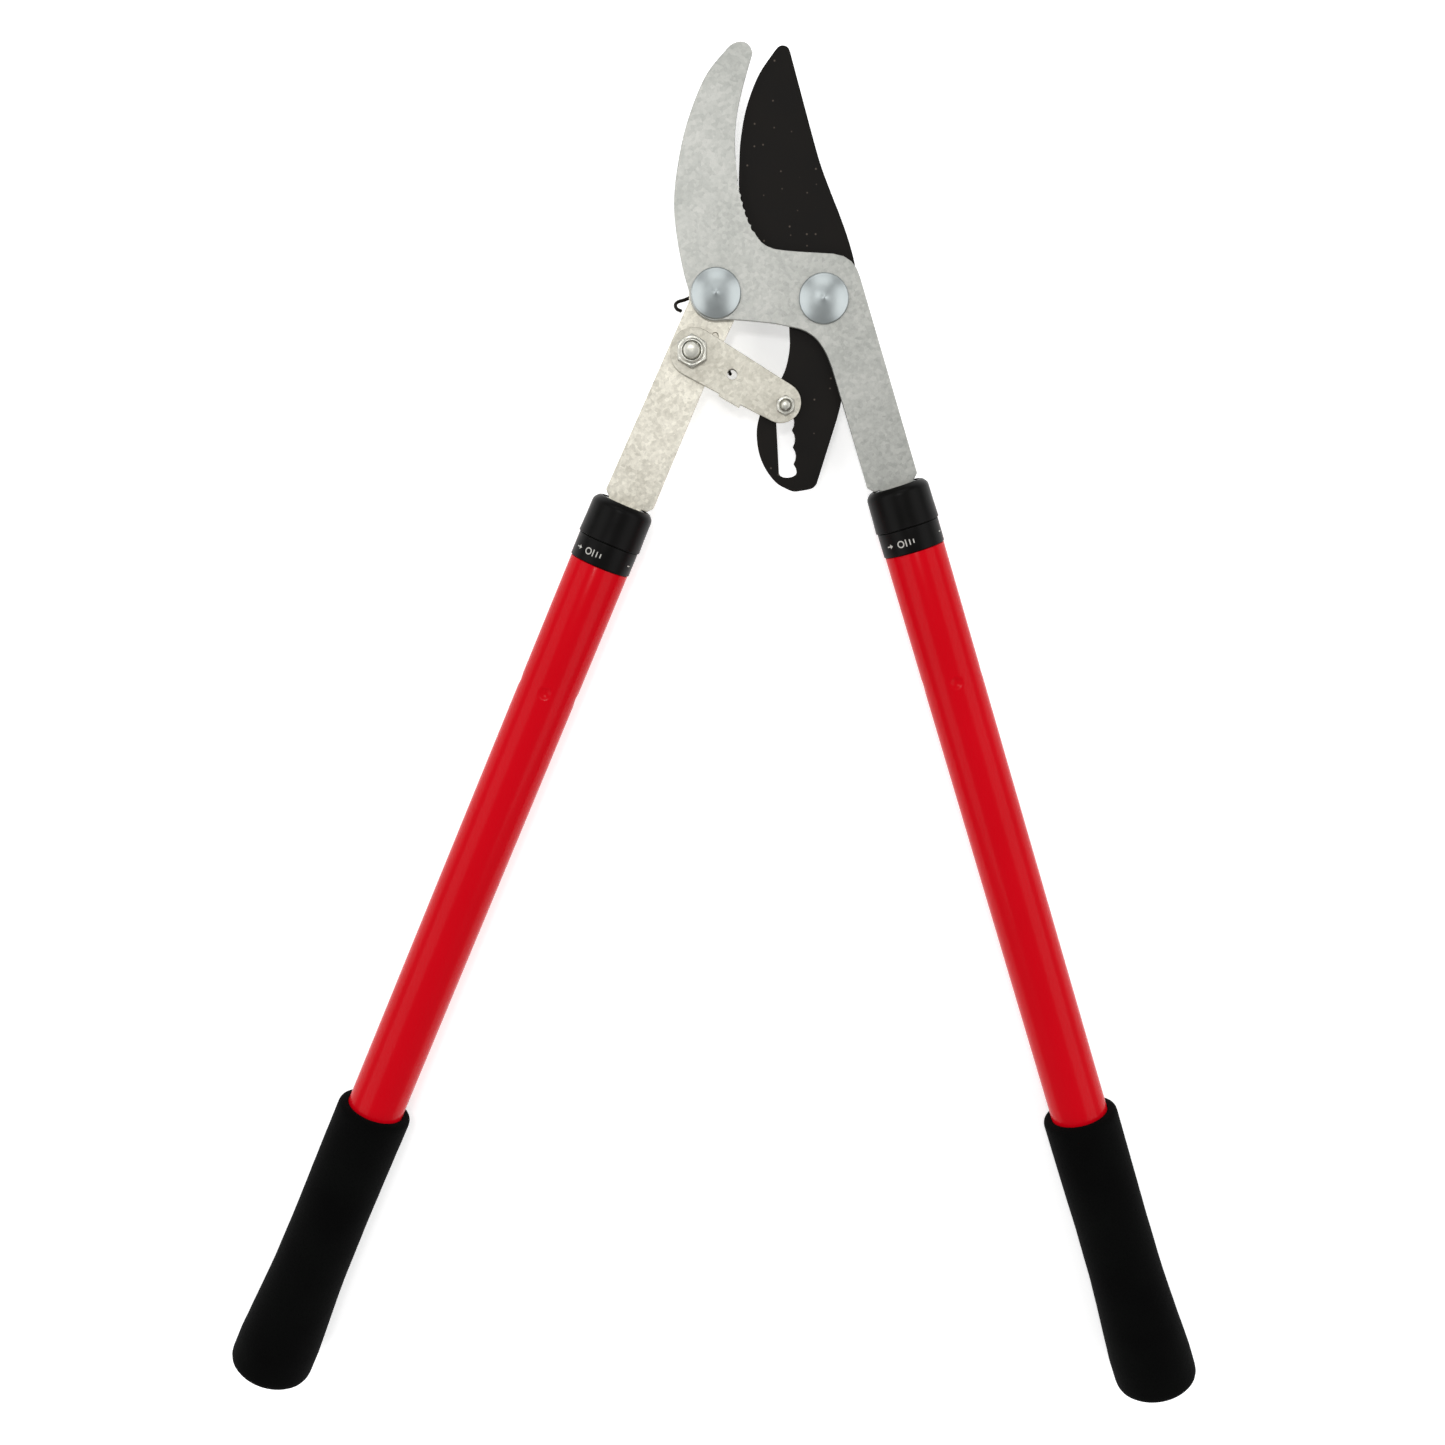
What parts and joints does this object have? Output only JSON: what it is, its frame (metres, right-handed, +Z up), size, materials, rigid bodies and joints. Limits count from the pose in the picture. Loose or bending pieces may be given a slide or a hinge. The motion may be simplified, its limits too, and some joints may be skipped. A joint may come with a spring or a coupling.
{
  "type": "telescopic ratchet loppers",
  "caption": "Long-handled bypass loppers with a hooked anvil plate, a ratchet link acting on a notched blade tail, twist-lock telescopic tubes and foam grips.",
  "frame": {"origin": "middle of the part's outline on the surface it lies on, with the tool lying on its back", "axes": "+Y along the tool towards the blades, +X towards the hook plate's handle, +Z up out of the front face"},
  "size_m": [0.4924, 0.6528, 0.0415],
  "materials": {
    "zinc_plate": "galvanised, fine mottled spangle",
    "warm_zinc_plate": "galvanised, slightly warm",
    "bolt_zinc": "bright bluish zinc plating",
    "nut_steel": "plain plated steel",
    "blade_coating": "low friction coating, satin",
    "black_wire": "oiled black spring wire",
    "red_paint": "glossy powder coat",
    "bare_tube": "drawn tube, bright",
    "foam": "closed cell foam, matte",
    "black_plastic": "moulded, satin",
    "white_plastic": "moulded nylon"
  },
  "bodies": {
    "right_frame": {"hook_plate": "zinc_plate", "hook_pivot_bolt": "bolt_zinc", "hook_pivot_washer": "nut_steel", "hook_pivot_nut": "nut_steel", "blade_pivot_bolt": "bolt_zinc", "blade_pivot_washer": "nut_steel", "blade_pivot_nut": "nut_steel", "right_inner_tube": "bare_tube", "right_tang_plug": "white_plastic", "right_upper_tang_pin": "nut_steel", "right_lower_tang_pin": "nut_steel", "right_end_stop": "white_plastic"},
    "right_slider": {"right_outer_tube": "red_paint", "right_lock_sleeve": "black_plastic", "right_lock_collet": "white_plastic", "right_guide_bush": "white_plastic", "right_grip": "foam", "right_end_plug": "black_plastic"},
    "right_collar": {"right_lock_collar": "black_plastic"},
    "left_frame": {"left_arm": "warm_zinc_plate", "link_pivot_bolt": "nut_steel", "link_pivot_washer": "nut_steel", "link_pivot_nut": "nut_steel", "left_inner_tube": "bare_tube", "left_tang_plug": "white_plastic", "left_upper_tang_pin": "nut_steel", "left_lower_tang_pin": "nut_steel", "left_end_stop": "white_plastic", "return_spring": "black_wire"},
    "left_slider": {"left_outer_tube": "red_paint", "left_lock_sleeve": "black_plastic", "left_lock_collet": "white_plastic", "left_guide_bush": "white_plastic", "left_grip": "foam", "left_end_plug": "black_plastic"},
    "left_collar": {"left_lock_collar": "black_plastic"},
    "blade": {"cutting_blade": "blade_coating"},
    "link": {"ratchet_link": "warm_zinc_plate", "ratchet_pin": "nut_steel", "ratchet_pin_nut": "nut_steel", "ratchet_roller": "bare_tube"}
  },
  "joints": [
    {"name": "handle_pivot", "type": "hinge", "parent": "right_frame", "child": "left_frame", "pos_m": [0.00114, 0.22053, 0.02075], "axis": [0, 0, 1], "range_deg": [-36, 20], "deforming": ["return_spring"]},
    {"name": "blade_pivot", "type": "hinge", "parent": "right_frame", "child": "blade", "pos_m": [0.04945, 0.21823, 0.02075], "axis": [0, 0, 1], "range_deg": [-20.5, 11.5]},
    {"name": "link_pivot", "type": "hinge", "parent": "left_frame", "child": "link", "pos_m": [-0.00975, 0.19543, 0.02075], "axis": [0, 0, 1], "range_deg": [-19.5, 34.5]},
    {"name": "right_extension", "type": "slide", "parent": "right_frame", "child": "right_slider", "axis": [0.3024, -0.9532, 0], "range_m": [0, 0.32]},
    {"name": "right_lock_twist", "type": "hinge", "parent": "right_slider", "child": "right_collar", "pos_m": [0.08395, 0.13523, 0.02075], "axis": [0.3024, -0.9532, 0], "range_deg": [0, 90]},
    {"name": "left_extension", "type": "slide", "parent": "left_frame", "child": "left_slider", "axis": [-0.3939, -0.9191, 0], "range_m": [0, 0.32]},
    {"name": "left_lock_twist", "type": "hinge", "parent": "left_slider", "child": "left_collar", "pos_m": [-0.04106, 0.12693, 0.02075], "axis": [-0.3939, -0.9191, 0], "range_deg": [0, 90]}
  ],
  "couplings": [
    {"joint": "blade_pivot", "follows": "handle_pivot", "ratio": 0.543},
    {"joint": "link_pivot", "follows": "handle_pivot", "ratio": -0.95}
  ]
}
